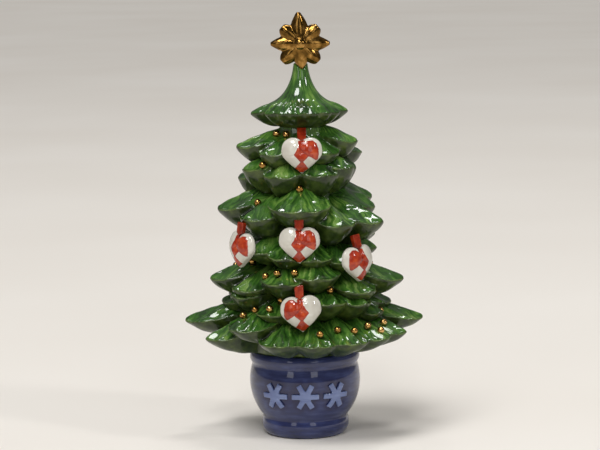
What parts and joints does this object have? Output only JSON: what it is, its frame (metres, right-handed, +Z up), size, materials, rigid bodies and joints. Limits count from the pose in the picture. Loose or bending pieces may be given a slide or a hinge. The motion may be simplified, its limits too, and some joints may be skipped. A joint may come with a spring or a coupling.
{
  "type": "ceramic christmas tree",
  "caption": "Glazed porcelain Christmas tree figure in a round blue pot, with tiered boughs, hearts on hangers, gilded beads and a star, for standing on a table or shelf.",
  "frame": {"origin": "centre of the pot's foot, on the surface that the figure stands on", "axes": "+Z up along the trunk, -Y towards the front with the hearts, +X to the viewer's right"},
  "size_m": [0.0844, 0.0714, 0.1493],
  "materials": {
    "green_glaze": "clear gloss glaze over brushed green",
    "gold_lustre": "fired gold lustre, mirror gloss",
    "white_glaze": "white gloss glaze with red painted weave",
    "red_enamel": "gloss red enamel",
    "blue_glaze": "cobalt blue gloss glaze",
    "pale_blue_glaze": "thin pale blue gloss glaze on the relief",
    "bisque": "unglazed bisque, hidden inside"
  },
  "bodies": {
    "root": {"hanger_back_left": "red_enamel", "hanger_back_low": "red_enamel", "hanger_back_right": "red_enamel", "hanger_back_top": "red_enamel", "hanger_front_left": "red_enamel", "hanger_front_low": "red_enamel", "hanger_front_middle": "red_enamel", "hanger_front_right": "red_enamel", "hanger_front_top": "red_enamel", "heart_back_left": "white_glaze", "heart_back_low": "white_glaze", "heart_back_right": "white_glaze", "heart_back_top": "white_glaze", "heart_front_left": "white_glaze", "heart_front_low": "white_glaze", "heart_front_middle": "white_glaze", "heart_front_right": "white_glaze", "heart_front_top": "white_glaze", "pot": "blue_glaze", "pot_sprig_left": "pale_blue_glaze", "pot_sprig_middle": "pale_blue_glaze", "pot_sprig_right": "pale_blue_glaze", "spire": "green_glaze", "star": "gold_lustre", "tier_1": "green_glaze", "tier_1_beads": "gold_lustre", "tier_2": "green_glaze", "tier_2_beads": "gold_lustre", "tier_3": "green_glaze", "tier_3_beads": "gold_lustre", "tier_4": "green_glaze", "tier_5": "green_glaze", "tier_5_beads": "gold_lustre", "tier_6": "green_glaze", "tier_6_beads": "gold_lustre", "tier_7": "green_glaze", "tier_7_beads": "gold_lustre", "trunk": "bisque"}
  },
  "joints": []
}
